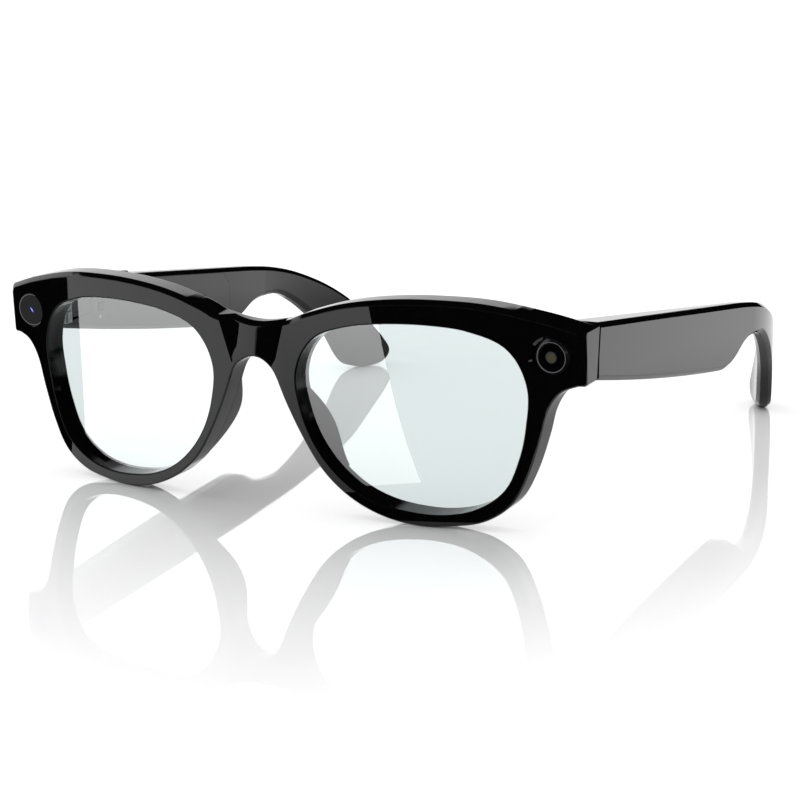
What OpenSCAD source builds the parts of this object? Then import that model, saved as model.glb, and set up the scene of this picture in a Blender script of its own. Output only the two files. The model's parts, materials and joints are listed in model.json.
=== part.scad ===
// Smart glasses: a thick glossy frame with a camera and a light in the
// end pieces, folding electronic temples and clear lenses.
// Millimetres, +Z up. The front faces -Y and the temples run to +Y.
// Side names are the wearer's: right is -X, left is +X.

/* [Front] */
// Radius of the wrap-around front surface
wrap_r = 278; // [150:1:500]
// Forward lean of the front at its top, degrees
lean = 3.6; // [0:0.1:12]
// Thickness of the rims and brow
front_t = 6; // [4:0.1:8]
// Half of the overall width
half_w = 75; // [68:0.5:80]
// Y of the front surface at the floor, on the mid plane
base_y = -9; // [-12:0.1:-6]
// Depth of the bridge recess at its top
saddle_d = 2.6; // [0:0.1:3.5]

/* [Lenses] */
// Lens thickness
lens_t = 1.8; // [1.2:0.1:3]
// Depth the lens edge sits inside the rim
lens_lip = 0.8; // [0.4:0.1:1.2]
// Distance of the lens behind the front surface
lens_set = 2.4; // [1.5:0.1:3.5]

/* [Camera and light] */
// Distance of the eyes from the mid plane
eye_x = 67.8; // [60:0.1:69]
// Height of the eyes in the front
eye_z = 38.5; // [34:0.1:42]
// Radius of the round windows
window_r = 3.55; // [2.5:0.05:3.8]
// Outer radius of the rings round the windows
ring_r = 3.95; // [3:0.05:4.5]

/* [Temples] */
// Temple thickness at the hinge
temple_t0 = 7.4; // [5:0.1:9]
// Temple thickness at the ear
temple_t1 = 4.1; // [3:0.1:6]
// Y where the temple starts to bend inwards
bend_y = 104; // [80:1:110]
// Radius of the inward bend, on the outside
bend_r = 105; // [80:1:200]
// Thickness of the outer wall
wall = 1.4; // [1:0.1:2]
// Thickness of the inner cover
cover_t = 1; // [0.8:0.1:1.4]
// Gap in the joint between front and temple
joint_gap = 0.3; // [0.2:0.05:0.5]

/* [Hinges] */
// Distance of the hinge axis from the mid plane
hinge_x = 66; // [64:0.1:67]
// Y of the hinge axis
hinge_y = 7; // [6:0.1:8]
// Radius of the knuckles
knuckle_r = 1.9; // [1.5:0.1:2.2]
// Radius of the hinge pin
pin_r = 0.8; // [0.5:0.05:1]

/* [Keys] */
// Y of the capture button on the right temple
capture_y = 38; // [30:0.5:60]
// Length of the capture button
capture_l = 3.6; // [3:0.1:12]
// Width of the capture button
capture_w = 2; // [1.5:0.1:3]
// Side of the square power key
power_w = 2; // [1.5:0.1:4]

/* [Hidden] */
$fn = 48;
fine = 720;
// Slope of the temple's top edge and of the joint plane
slope = 0.0957;
joint_y = 5.15;
joint_z = 40;
end_in = 66.9;
end_lo = 32.4;
end_hi = 44.1;
power_y = 24.3;
power_z = 36;
status_y = 24;
status_z = 33.4;
contact_r = 0.9;
mic_x = 72.4;
mic_y = 77;
// Hinge leaf on the front: its corner nearest the floor and its size
leaf_w = 1.3;
leaf_y = 2.6;
leaf_z = 34.6;
leaf_l = 3.2;
leaf_h = 8.6;
// The assembly is moved so that its box is centred over the origin
shift_y = -71.56;
lift_z = -0.1;

// ---- Curves ----------------------------------------------------------------

// Smooth curve through points; the first and last only set the end slopes.
function spline(p, n) = [
  for (i = [1 : len(p) - 3], k = [0 : n - 1])
    let (t = k / n, a = p[i - 1], b = p[i], c = p[i + 1], d = p[i + 2])
    0.5 * (2 * b + (c - a) * t + (2 * a - 5 * b + 4 * c - d) * t * t
      + (3 * b - a - 3 * c + d) * t * t * t),
  p[len(p) - 2]
];

function flip(p) = [for (i = [len(p) - 1 : -1 : 0]) [-p[i][0], p[i][1]]];

// Right half of the top edge, from the mid plane to the end piece.
brow_pts = [[-8.6, 43.4], [0, 42.2], [8.6, 43.4], [13.4, 45.3], [22.5, 47.9],
  [32.2, 49.3], [42.5, 49.7], [54, 49.1], [66, 46.7], [half_w - 0.3, 44.1],
  [84, 41.2]];
// From under the end piece round the rim and up to the bridge.
rim_pts = [[80, 34], [half_w - 1.8, 32.4], [69.4, 30.7], [66.8, 26.6],
  [65.2, 20.5], [62.6, 12.6], [59, 6], [53, 1.9], [45.5, 0.4], [38, 0],
  [30, 1.5], [22.6, 5], [16.4, 10.4], [11.6, 17.8], [7.9, 25.2], [5.2, 31.6],
  [2.8, 33.9], [0, 34.7], [-2.8, 33.9]];
brow = spline(brow_pts, 5);
rim = spline(rim_pts, 5);
half_outline = concat(brow, [[half_w, 43.5], [half_w, 32.9], [half_w - 0.5, 32.4]], rim);

// Lens opening: radii every 18 degrees round a centre inside the lens.
lens_c = [37, 24];
lens_radii = [25.2, 23.5, 22.2, 21.4, 20.9, 21, 22.2, 24, 25.3, 25, 25.4,
  26.9, 26.8, 23.7, 21.2, 20.3, 21, 23.4, 26.8, 27.3];
function radii(p, n) = spline(concat([p[len(p) - 1]], p, [p[0], p[1]]), n);
function lens_loop(grow) =
  let (n = 6, r = radii(lens_radii, n), m = len(lens_radii) * n)
  [for (i = [0 : m - 1]) let (a = -180 + 360 * i / m)
    lens_c + (r[i] + grow) * [cos(a), sin(a)]];

// Edges of the temple in the side view.
function top_z(y) = 45.5 - slope * (y - 5.8);
function low_z(y) = 33.4 - 0.183 * (y - 4.7) + 0.00046 * pow(y - 4.7, 2);
hook_pts = [[80, top_z(80)], [94, top_z(94)], [105.3, 35.7], [112.6, 34.4],
  [119.3, 32.7], [125.6, 30.5], [131.6, 27.9], [137.3, 24.7], [142.8, 20.6],
  [149.8, 12.5], [153.6, 7.4], [154.7, 4.2], [152.6, 1.1], [147, 0.1],
  [141.6, 1.3], [138.1, 4.3], [133.4, 11.8], [128.2, 17], [120.6, 22.8],
  [112.6, 26.7], [105.2, 27.2], [98.6, 26.2], [92.4, 23.5], [87.4, 22.1],
  [82, low_z(82)], [70, low_z(70)]];
side_outline = concat(
  [[joint_y + joint_gap + slope * (45.5 - joint_z), 45.5]],
  spline(hook_pts, 5),
  [for (y = [74 : -8 : 10]) [y, low_z(y)]],
  [[joint_y + joint_gap + slope * (33.4 - joint_z), 33.4]]);

// X of the temple's inner face.
function inner_x(y) = half_w - temple_t0 + (temple_t0 - temple_t1) * (y - 5.3) / (bend_y - 5.3);

// ---- Placing ---------------------------------------------------------------

module placed() {
  translate([0, shift_y, lift_z])
    children();
}

// Front coordinates: X across, Y back from the front surface, Z up the front.
module in_front() {
  translate([0, base_y, 0])
    rotate([lean, 0, 0])
      children();
}

module other_side() {
  mirror([1, 0, 0])
    children();
}

// Everything behind the joint plane, starting a given distance behind it.
module behind_joint(gap) {
  translate([0, joint_y + gap, joint_z])
    rotate([-atan(slope), 0, 0])
      translate([-100, 0, -60])
        cube([200, 60, 120]);
}

// Curved slab between two depths behind the front surface.
module slab(d0, d1) {
  translate([0, wrap_r, -5])
    difference() {
      cylinder(r = wrap_r - d0, h = 65, $fn = fine);
      translate([0, 0, -1])
        cylinder(r = wrap_r - d1, h = 67, $fn = fine);
    }
}

// A flat shape in the front view, pushed through the front.
module through(depth = 40) {
  translate([0, depth, 0])
    rotate([90, 0, 0])
      linear_extrude(depth + 5)
        children();
}

// A round space along the axis of the camera or the light.
module eye_round(r, d0, d1, side) {
  a = asin(eye_x / wrap_r);
  translate([side * eye_x, wrap_r * (1 - cos(a)), eye_z])
    rotate([-90, 0, 0])
      translate([0, 0, d0])
        cylinder(r = r, h = d1 - d0);
}

// ---- Front -----------------------------------------------------------------

module outline_2d() {
  polygon(concat(half_outline, flip(half_outline)));
}

module band_2d(grow) {
  top = [for (p = brow) if (p[0] < 66.5) p - [0, 1.1 - grow]];
  low = [for (p = brow) if (p[0] < 66.5) p - [0, 3.5 + grow]];
  polygon(concat(
    [for (i = [len(top) - 1 : -1 : 1]) [-top[i][0], top[i][1]]], top,
    [for (i = [len(low) - 1 : -1 : 0]) low[i]],
    [for (i = [1 : len(low) - 1]) [-low[i][0], low[i][1]]]));
}

module end_block() {
  intersection() {
    translate([end_in, 0, end_lo])
      cube([half_w - end_in, 30, end_hi - end_lo]);
    translate([0, wrap_r, 0])
      cylinder(r = wrap_r, h = 60, $fn = fine);
  }
}

module bridge_cut() {
  intersection() {
    through()
      polygon([[-9.5, 46.4], [9.5, 46.4], [8.6, 43.4], [5.3, 32.3], [4.6, 30],
        [-4.6, 30], [-5.3, 32.3], [-8.6, 43.4]]);
    translate([-15, 0, 33])
      rotate([-atan(saddle_d / 10.4), 0, 0])
        translate([0, -20, -5])
          cube([30, 20, 30]);
  }
}

module hinge_space() {
  translate([hinge_x, hinge_y, leaf_z - 0.7])
    cylinder(r = knuckle_r + 0.25, h = leaf_h + 1.6);
}

// Space beside the end piece, let into the back of the rim, for the leaf.
module leaf_space() {
  translate([end_in - leaf_w - 0.1, leaf_y - 0.05, leaf_z - 0.05])
    cube([leaf_w + 0.1, leaf_l + 5, leaf_h + 0.1]);
}

module front_frame() {
  color([0.02, 0.02, 0.022])
    placed()
      difference() {
        in_front()
          difference() {
            union() {
              intersection() {
                through()
                  outline_2d();
                slab(0, front_t);
              }
              end_block();
              other_side()
                end_block();
            }
            bridge_cut();
            for (s = [-1, 1])
              scale([s, 1, 1]) {
                through()
                  polygon(lens_loop(0));
                intersection() {
                  through()
                    polygon(lens_loop(lens_lip + 0.05));
                  slab(lens_set - 0.05, lens_set + lens_t + 0.05);
                }
              }
            intersection() {
              through()
                band_2d(0);
              slab(front_t - 1.3, front_t + 2);
            }
            for (s = [-1, 1]) {
              eye_round(ring_r + 0.03, -4, 1.5, s);
              eye_round(3, -1, 5.6, s);
            }
            translate([0, front_t - 1.5, 37.1])
              rotate([-90, 0, 0])
                cylinder(r = 0.95, h = 3);
          }
        behind_joint(0);
        for (s = [0, 1])
          mirror([s, 0, 0]) {
            hinge_space();
            leaf_space();
            front_screw_holes();
          }
      }
}

module lens() {
  in_front()
    intersection() {
      through()
        polygon(lens_loop(lens_lip));
      slab(lens_set, lens_set + lens_t);
    }
}

module lens_left() {
  color([0.86, 0.95, 0.94, 0.3])
    placed()
      lens();
}

module lens_right() {
  color([0.86, 0.95, 0.94, 0.3])
    placed()
      other_side()
        lens();
}

module brow_cover() {
  color([0.025, 0.025, 0.027])
    placed()
      in_front()
        intersection() {
          through()
            band_2d(-0.08);
          slab(front_t - 0.8, front_t);
        }
}

module brow_flex() {
  color([0.72, 0.42, 0.1])
    placed()
      in_front()
        intersection() {
          through()
            band_2d(-0.35);
          slab(front_t - 1.15, front_t - 0.9);
        }
}

// Profile of a nose pad seen from its side: depth behind the rim, height.
pad_pts = [[-4, 8], [-1, 9], [2.2, 7.6], [4.8, 4.4], [5.9, 0], [5.2, -4.6],
  [3, -8.6], [-1, -12.2], [-4, -11]];

module nose_pad() {
  in_front()
    intersection() {
      translate([9.7, front_t - 0.6, 20.4])
        rotate([0, -27, 0])
          rotate([0, 0, -12])
            translate([3.5, 0, 0])
              rotate([0, -90, 0])
                linear_extrude(3.4)
                  polygon([for (p = spline(pad_pts, 6)) [p[1], p[0]]]);
      translate([0, wrap_r, -5])
        cylinder(r = wrap_r - front_t - 0.02, h = 65, $fn = fine);
    }
}

module nose_pad_left() {
  color([0.03, 0.03, 0.032])
    placed()
      nose_pad();
}

module nose_pad_right() {
  color([0.03, 0.03, 0.032])
    placed()
      other_side()
        nose_pad();
}

module bridge_microphone() {
  color([0.75, 0.72, 0.62])
    placed()
      in_front()
        translate([0, front_t - 1.4, 37.1])
          rotate([-90, 0, 0])
            difference() {
              cylinder(r = 0.9, h = 1.2);
              translate([0, 0, 0.9])
                cylinder(r = 0.25, h = 1);
            }
}

// ---- Camera and light ------------------------------------------------------

module eye_ring(side) {
  placed()
    in_front()
      difference() {
        eye_round(ring_r, 0.15, 1.45, side);
        eye_round(window_r + 0.05, 0, 0.95, side);
        eye_round(2.6, 0.5, 2, side);
      }
}

module camera_ring() {
  color([0.25, 0.26, 0.28])
    eye_ring(-1);
}

module light_ring() {
  color([0.25, 0.26, 0.28])
    eye_ring(1);
}

module camera_window() {
  color([0.03, 0.03, 0.05, 0.6])
    placed()
      in_front()
        eye_round(window_r, 0.2, 0.9, -1);
}

module light_window() {
  color([0.05, 0.05, 0.05, 0.6])
    placed()
      in_front()
        eye_round(window_r, 0.2, 0.9, 1);
}

module camera_lens() {
  color([0.15, 0.15, 0.4])
    placed()
      in_front()
        intersection() {
          eye_round(1.5, 1, 2.2, -1);
          translate([-eye_x, wrap_r * (1 - cos(asin(eye_x / wrap_r))) + 4.05, eye_z])
            sphere(r = 3, $fn = 64);
        }
}

module camera_barrel() {
  color([0.06, 0.06, 0.065])
    placed()
      in_front()
        difference() {
          eye_round(2.5, 1.05, 4.4, -1);
          eye_round(1.55, 1, 2.25, -1);
          eye_round(1, 2, 5, -1);
        }
}

module eye_board(side) {
  placed()
    in_front()
      eye_round(2.8, 4.5, 5.1, side);
}

module camera_board() {
  color([0.05, 0.3, 0.15])
    eye_board(-1);
}

module light_board() {
  color([0.05, 0.3, 0.15])
    eye_board(1);
}

module light_reflector() {
  color([0.1, 0.1, 0.11])
    placed()
      in_front()
        difference() {
          eye_round(2.5, 1.05, 4.4, 1);
          translate([eye_x, wrap_r * (1 - cos(asin(eye_x / wrap_r))), eye_z])
            rotate([-90, 0, 0])
              translate([0, 0, 1])
                cylinder(r1 = 2.1, r2 = 1.2, h = 2.8);
          eye_round(1.1, 3, 5, 1);
        }
}

module light_chip() {
  color([0.9, 0.8, 0.35])
    placed()
      in_front()
        union() {
          eye_round(0.95, 3.5, 3.9, 1);
          eye_round(0.7, 3.8, 4.48, 1);
        }
}

// ---- Hinges ----------------------------------------------------------------

front_screw_z = [36.3, 41.7];
leaf_screw_y = [12.4, 16.8];

module front_screw_holes() {
  for (z = front_screw_z)
    translate([end_in - 0.5, 3.75, z])
      rotate([0, 90, 0])
        cylinder(r = 0.56, h = 4.2);
}

module hinge_front() {
  difference() {
    union() {
      translate([end_in - leaf_w - 0.05, leaf_y, leaf_z])
        cube([leaf_w, leaf_l, leaf_h]);
      translate([hinge_x, hinge_y, leaf_z])
        cylinder(r = knuckle_r, h = leaf_h);
    }
    translate([hinge_x, hinge_y, 37.4])
      cylinder(r = knuckle_r + 0.15, h = 3);
    translate([hinge_x, hinge_y, 30])
      cylinder(r = pin_r + 0.01, h = 20);
    for (z = front_screw_z)
      translate([end_in - 1.6, 3.75, z])
        rotate([0, 90, 0]) {
          cylinder(r = 0.58, h = 4);
          cylinder(r = 1.02, h = 0.85);
        }
  }
}

module hinge_front_left() {
  color([0.75, 0.75, 0.77])
    placed()
      hinge_front();
}

module hinge_front_right() {
  color([0.75, 0.75, 0.77])
    placed()
      other_side()
        hinge_front();
}

module screw(l) {
  difference() {
    union() {
      cylinder(r = 1, h = 0.6);
      cylinder(r = 0.54, h = l);
    }
    translate([-0.12, -0.8, -1])
      cube([0.24, 1.6, 1.3]);
    translate([-0.8, -0.12, -1])
      cube([1.6, 0.24, 1.3]);
  }
}

module hinge_front_screws() {
  color([0.6, 0.6, 0.62])
    placed()
      for (s = [0, 1], z = front_screw_z)
        mirror([s, 0, 0])
          translate([end_in - 1.37, 3.75, z])
            rotate([0, 90, 0])
              screw(4.6);
}

module hinge_pin() {
  translate([hinge_x, hinge_y, 34.3])
    cylinder(r = pin_r, h = 9.2);
  translate([hinge_x, hinge_y, 43.22])
    cylinder(r = pin_r + 0.5, h = 0.5);
}

module hinge_pin_left() {
  color([0.8, 0.8, 0.82])
    placed()
      hinge_pin();
}

module hinge_pin_right() {
  color([0.8, 0.8, 0.82])
    placed()
      other_side()
        hinge_pin();
}

// Flat strip lying on or in the temple's inner face, between two depths.
module inner_strip(y0, y1, d0, d1, z0, z1) {
  translate([0, 0, z0])
    linear_extrude(z1 - z0)
      polygon([[inner_x(y0) + d0, y0], [inner_x(y1) + d0, y1],
        [inner_x(y1) + d1, y1], [inner_x(y0) + d1, y0]]);
}

module hinge_temple() {
  difference() {
    union() {
      inner_strip(7.2, 19.6, 0.02, 1.1, 35, 41.8);
      translate([hinge_x, hinge_y, 37.55])
        cylinder(r = knuckle_r, h = 2.7);
      translate([hinge_x, hinge_y, 37.55])
        cube([2.4, 1.9, 2.7]);
    }
    translate([hinge_x, hinge_y, 34])
      cylinder(r = pin_r + 0.05, h = 10);
    difference() {
      translate([hinge_x, hinge_y, 34])
        cylinder(r = knuckle_r + 0.15, h = 10);
      translate([hinge_x, hinge_y, 37.55])
        cylinder(r = 5, h = 2.7);
    }
    leaf_screw_spaces(0.58, 1.03);
  }
}

module leaf_screw_spaces(shank, head) {
  for (y = leaf_screw_y)
    translate([inner_x(y) - 0.6, y, 38.4])
      rotate([0, 90, 0]) {
        cylinder(r = shank, h = 4.2);
        cylinder(r = head, h = 1.25);
      }
}

module hinge_temple_left() {
  color([0.75, 0.75, 0.77])
    placed()
      hinge_temple();
}

module hinge_temple_right() {
  color([0.75, 0.75, 0.77])
    placed()
      other_side()
        hinge_temple();
}

module hinge_screws() {
  for (y = leaf_screw_y)
    translate([inner_x(y) + 0.04, y, 38.4])
      rotate([0, 90, 0])
        screw(3.4);
}

module hinge_screws_left() {
  color([0.6, 0.6, 0.62])
    placed()
      hinge_screws();
}

module hinge_screws_right() {
  color([0.6, 0.6, 0.62])
    placed()
      other_side()
        hinge_screws();
}

// ---- Temples ---------------------------------------------------------------

// Temple in plan, straight and then bent inwards, between two depths
// measured from the outer face.
module plan(y0 = 0) {
  union() {
    translate([0, 0, -5])
      linear_extrude(60)
        polygon([[inner_x(y0), y0], [half_w, y0], [half_w, bend_y],
          [inner_x(bend_y), bend_y]]);
    intersection() {
      translate([half_w - bend_r, bend_y, -5])
        difference() {
          cylinder(r = bend_r, h = 60, $fn = 360);
          translate([0, 0, -1])
            cylinder(r = bend_r - temple_t1, h = 62, $fn = 360);
        }
      translate([20, bend_y, -6])
        cube([60, 70, 62]);
    }
  }
}

module side_shape() {
  translate([40, 0, 0])
    rotate([90, 0, 90])
      linear_extrude(50)
        polygon(side_outline);
}

// Side shape of the cover and of the space behind it.
module bay_2d(grow) {
  m = 1.3 - grow;
  a = 20.4 - grow;
  b = 85 + grow;
  polygon(concat(
    [for (y = [a + 1, 36, 52, 68, b - 3]) [y, top_z(y) - m]],
    [[b, top_z(b) - m - 3], [b, low_z(b) + m + 2]],
    [for (y = [b - 3, 68, 52, 36, a + 1]) [y, low_z(y) + m]],
    [[a, low_z(a) + m + 1], [a, top_z(a) - m - 1]]));
}

// A flat shape in the side view, pushed through the temple.
module sideways() {
  translate([50, 0, 0])
    rotate([90, 0, 90])
      linear_extrude(30)
        children();
}

module bay(grow, d0, d1) {
  intersection() {
    sideways()
      bay_2d(grow);
    inner_strip(15, 90, d0, d1, 15, 50);
  }
}

module temple_shell() {
  difference() {
    intersection() {
      plan(0);
      side_shape();
    }
    bay(0.06, -2, cover_t + 0.06);
    intersection() {
      sideways()
        bay_2d(-0.8);
      translate([60, 22.2, 15])
        cube([half_w - wall - 60, 61, 35]);
    }
    // Way for the cable from the hinge.
    translate([inner_x(20) + 1.6, 5, 39.8])
      cube([1.8, 20, 1.6]);
    hinge_space();
    inner_strip(5, 19.7, -2, 1.14, 34.9, 41.9);
    leaf_screw_spaces(0.56, 1.03);
    wire(0.65, 30.6);
    // Microphone port in the lower edge.
    translate([mic_x, mic_y, 15])
      cylinder(r = 0.35, h = 12);
  }
}

// Wire that stiffens the ear hook.
module wire(r, l) {
  translate([half_w - temple_t1 / 2, 82.6, 31.3])
    rotate([-92.3, 0, 0])
      cylinder(r = r, h = l);
}

module grille_spaces() {
  for (i = [0 : 4])
    translate([60, 63.2 + i * 2.1, 27])
      cube([20, 1, 5]);
}

module temple_cover() {
  difference() {
    bay(0, 0, cover_t);
    grille_spaces();
  }
}

module temple_shell_left() {
  color([0.02, 0.02, 0.022])
    placed()
      temple_shell();
}

module temple_shell_right() {
  color([0.02, 0.02, 0.022])
    placed()
      other_side()
        difference() {
          temple_shell();
          on_top_edge()
            key_block(capture_l + 0.24, capture_w + 0.24, -4, 2);
        }
}

module temple_cover_left() {
  color([0.025, 0.025, 0.027])
    placed()
      difference() {
        temple_cover();
        contact_pair(contact_r + 0.03, -1, 3);
      }
}

module temple_cover_right() {
  color([0.025, 0.025, 0.027])
    placed()
      other_side()
        difference() {
          temple_cover();
          translate([60, power_y - power_w / 2 - 0.12, power_z - power_w / 2 - 0.12])
            cube([20, power_w + 0.24, power_w + 0.24]);
          inner_round(status_y, status_z, 0.48, -1, 3);
        }
}

// ---- Speakers, microphones and wires ---------------------------------------

module speaker() {
  difference() {
    inner_strip(62.5, 73.5, 1.45, 3.4, 26.6, 32.6);
    inner_strip(64.5, 71.5, 1.2, 1.75, 27.6, 31.6);
  }
}

module speaker_left() {
  color([0.2, 0.2, 0.22])
    placed()
      speaker();
}

module speaker_right() {
  color([0.2, 0.2, 0.22])
    placed()
      other_side()
        speaker();
}

module grille() {
  inner_strip(62.5, 73.5, 1.1, 1.35, 26.6, 32.6);
}

module speaker_grille_left() {
  color([0.35, 0.35, 0.37])
    placed()
      grille();
}

module speaker_grille_right() {
  color([0.35, 0.35, 0.37])
    placed()
      other_side()
        grille();
}

module microphone() {
  translate([mic_x, mic_y, low_z(mic_y) + 2.35])
    difference() {
      cylinder(r = 0.9, h = 1);
      translate([0, 0, -1])
        cylinder(r = 0.25, h = 1.6);
    }
}

module microphone_left() {
  color([0.75, 0.72, 0.62])
    placed()
      microphone();
}

module microphone_right() {
  color([0.75, 0.72, 0.62])
    placed()
      other_side()
        microphone();
}

module core_wire_left() {
  color([0.7, 0.7, 0.72])
    placed()
      wire(0.6, 30.5);
}

module core_wire_right() {
  color([0.7, 0.7, 0.72])
    placed()
      other_side()
        wire(0.6, 30.5);
}

// ---- Left temple: power ----------------------------------------------------

module battery() {
  color([0.25, 0.3, 0.4])
    placed()
      intersection() {
        inner_strip(20, 70, 1.3, 3.9, 20, 50);
        sideways()
          polygon([[26.4, 32.4], [26.4, 40.6], [60.5, 37.3], [60.5, 27.6]]);
      }
}

module battery_board() {
  color([0.05, 0.3, 0.15])
    placed()
      inner_strip(22.8, 25.9, 2.2, 2.8, 33, 40.4);
}

// Round shape along X, between two depths from the inner face.
module inner_round(y, z, r, d0, d1) {
  translate([inner_x(y) + d0, y, z])
    rotate([0, 90, 0])
      cylinder(r = r, h = d1 - d0);
}

module contact_pair(r, d0, d1) {
  for (z = [34.6, 38.6])
    inner_round(24.4, z, r, d0, d1);
}

module charge_contacts() {
  color([0.85, 0.65, 0.3])
    placed()
      contact_pair(contact_r, -0.1, 2.15);
}

// ---- Right temple: board and keys ------------------------------------------

module main_board() {
  color([0.05, 0.3, 0.15])
    placed()
      other_side()
        intersection() {
          inner_strip(20, 70, 2.5, 3.1, 20, 50);
          sideways()
            polygon([[22.8, 32.8], [22.8, 39.2], [60, 34.6], [60, 28]]);
        }
}

module processor() {
  color([0.6, 0.6, 0.62])
    placed()
      other_side()
        inner_strip(38, 47, 1.5, 2.46, 30.4, 35.6);
}

module touch_flex() {
  color([0.72, 0.42, 0.1])
    placed()
      other_side()
        intersection() {
          translate([half_w - wall - 0.3, 20, 20])
            cube([0.25, 60, 30]);
          sideways()
            polygon([[24, 33], [24, 40.9], [60, 37.4], [60, 27.8]]);
        }
}

module status_light() {
  color([0.8, 0.85, 0.9, 0.8])
    placed()
      other_side()
        union() {
          inner_round(status_y, status_z, 0.45, 0, 1.6);
          inner_round(status_y, status_z, 0.38, 1.5, 2.45);
        }
}

module power_switch() {
  color([0.55, 0.55, 0.57])
    placed()
      other_side()
        translate([inner_x(power_y) + 1.95, power_y - 1.1, power_z - 1.1])
          cube([0.5, 2.2, 2.2]);
}

module power_key() {
  color([0.12, 0.12, 0.125])
    placed()
      other_side()
        translate([inner_x(power_y), power_y, power_z])
          union() {
            translate([-0.25, -power_w / 2, -power_w / 2])
              cube([1.6, power_w, power_w]);
            translate([1.15, -power_w / 2 - 0.3, -power_w / 2 - 0.3])
              cube([0.4, power_w + 0.6, power_w + 0.6]);
          }
}

module on_top_edge() {
  translate([half_w - 3.1, capture_y, top_z(capture_y)])
    rotate([-atan(slope), 0, 0])
      children();
}

module key_block(l, w, z0, z1) {
  translate([-w / 2, -l / 2, z0])
    cube([w, l, z1 - z0]);
}

module capture_button() {
  color([0.03, 0.03, 0.032])
    placed()
      other_side()
        on_top_edge()
          union() {
            intersection() {
              key_block(capture_l, capture_w, -2.3, 0.6);
              translate([-5, 0, -3.4])
                rotate([0, 90, 0])
                  cylinder(r = 4, h = 10, $fn = 96);
            }
            key_block(capture_l + 0.8, capture_w + 0.7, -2.65, -2.25);
          }
}

module capture_switch() {
  color([0.55, 0.55, 0.57])
    placed()
      other_side()
        on_top_edge()
          key_block(3, 2.2, -4.1, -3.1);
}

front_frame();
lens_right();
lens_left();
brow_cover();
brow_flex();
nose_pad_right();
nose_pad_left();
camera_ring();
camera_window();
camera_lens();
camera_barrel();
camera_board();
light_ring();
light_window();
light_reflector();
light_chip();
light_board();
bridge_microphone();
hinge_front_right();
hinge_front_left();
hinge_front_screws();
hinge_pin_right();
hinge_pin_left();
temple_shell_right();
temple_cover_right();
hinge_temple_right();
hinge_screws_right();
main_board();
processor();
touch_flex();
speaker_right();
speaker_grille_right();
microphone_right();
core_wire_right();
status_light();
power_switch();
capture_switch();
capture_button();
power_key();
temple_shell_left();
temple_cover_left();
hinge_temple_left();
hinge_screws_left();
battery();
battery_board();
speaker_left();
speaker_grille_left();
microphone_left();
core_wire_left();
charge_contacts();
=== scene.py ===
"""Gloss black smart glasses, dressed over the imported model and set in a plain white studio."""
import json
import math

import bmesh
import bpy
from bpy.props import FloatProperty, FloatVectorProperty, PointerProperty
from mathutils import Matrix, Vector


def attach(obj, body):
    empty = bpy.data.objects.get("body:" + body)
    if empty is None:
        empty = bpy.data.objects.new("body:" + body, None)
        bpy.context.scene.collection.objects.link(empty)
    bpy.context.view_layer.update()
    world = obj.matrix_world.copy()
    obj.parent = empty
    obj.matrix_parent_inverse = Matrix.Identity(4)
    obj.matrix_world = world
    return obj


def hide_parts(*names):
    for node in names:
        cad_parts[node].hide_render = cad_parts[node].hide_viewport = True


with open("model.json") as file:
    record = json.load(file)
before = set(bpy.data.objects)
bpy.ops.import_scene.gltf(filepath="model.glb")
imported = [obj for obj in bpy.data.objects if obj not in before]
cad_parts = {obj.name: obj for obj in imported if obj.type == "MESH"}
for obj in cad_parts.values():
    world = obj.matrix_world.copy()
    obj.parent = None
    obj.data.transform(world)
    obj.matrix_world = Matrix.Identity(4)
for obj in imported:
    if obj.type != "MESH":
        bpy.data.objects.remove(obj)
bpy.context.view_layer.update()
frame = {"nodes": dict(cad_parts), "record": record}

bl_info = {
    "name": "Smart Glasses",
    "version": (1, 0, 0),
    "blender": (4, 5, 0),
    "location": "View3D > Sidebar > Glasses",
    "description": "Builds the visible pieces of a pair of smart glasses and their studio",
    "category": "Add Mesh",
}

MM = 0.001
LEFT, RIGHT = 1, -1  # the wearer's sides
SIDES = ((LEFT, "left"), (RIGHT, "right"))

# Millimetres. The front's own coordinates are across, depth behind its curved
# front surface, and height; a temple's are along, depth from its outer face, height.
SHIFT_Y = -71.56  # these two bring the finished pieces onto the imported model
LIFT_Z = -0.1

# Front
WRAP_R = 278.0  # the curve across the front
LEAN = math.radians(3.6)  # the front's top leans forward
FRONT_Y = -9.0
FRONT_T = 6.0
HALF_W = 75.0
TOP_EDGE = 41.0  # outline above this has the wide chamfer
BROW = [(-8.6, 43.4), (0, 42.2), (8.6, 43.4), (13.4, 45.3), (22.5, 47.9), (32.2, 49.3),
        (42.5, 49.7), (54, 49.1), (66, 46.7), (74.7, 44.1), (84, 41.2)]
RIM = [(80, 34), (73.2, 32.4), (69.4, 30.7), (66.8, 26.6), (65.2, 20.5), (62.6, 12.6),
       (59, 6), (53, 1.9), (45.5, 0.4), (38, 0), (30, 1.5), (22.6, 5), (16.4, 10.4),
       (11.6, 17.8), (7.9, 25.2), (5.2, 31.6), (2.8, 33.9), (0, 34.7), (-2.8, 33.9)]
FINE_BEVEL = 0.1  # mouths of the recesses in the back
BEND_STEP = 2.5  # flat faces are cut this often, to follow a bend

# End blocks, which carry the front's ends back to the hinge joint
END_LOW, SIDE_LOW, SIDE_TOP, END_TOP = 32.4, 32.9, 43.5, 44.1
LOW_CORNER, TOP_CORNER = 74.5, 74.7
BLOCK_IN = 66.9
BLOCK_END = 14.0  # depth of the joint's face
BLOCK_FROM = 10.0  # deeper than this only the blocks go on

# Recess in the front of the bridge
SADDLE = 2.9  # its depth at the top
SADDLE_FOOT = 33.0
SADDLE_H = 10.4
SADDLE_RAMP = 0.16  # width of its side walls for each mm of height
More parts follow.
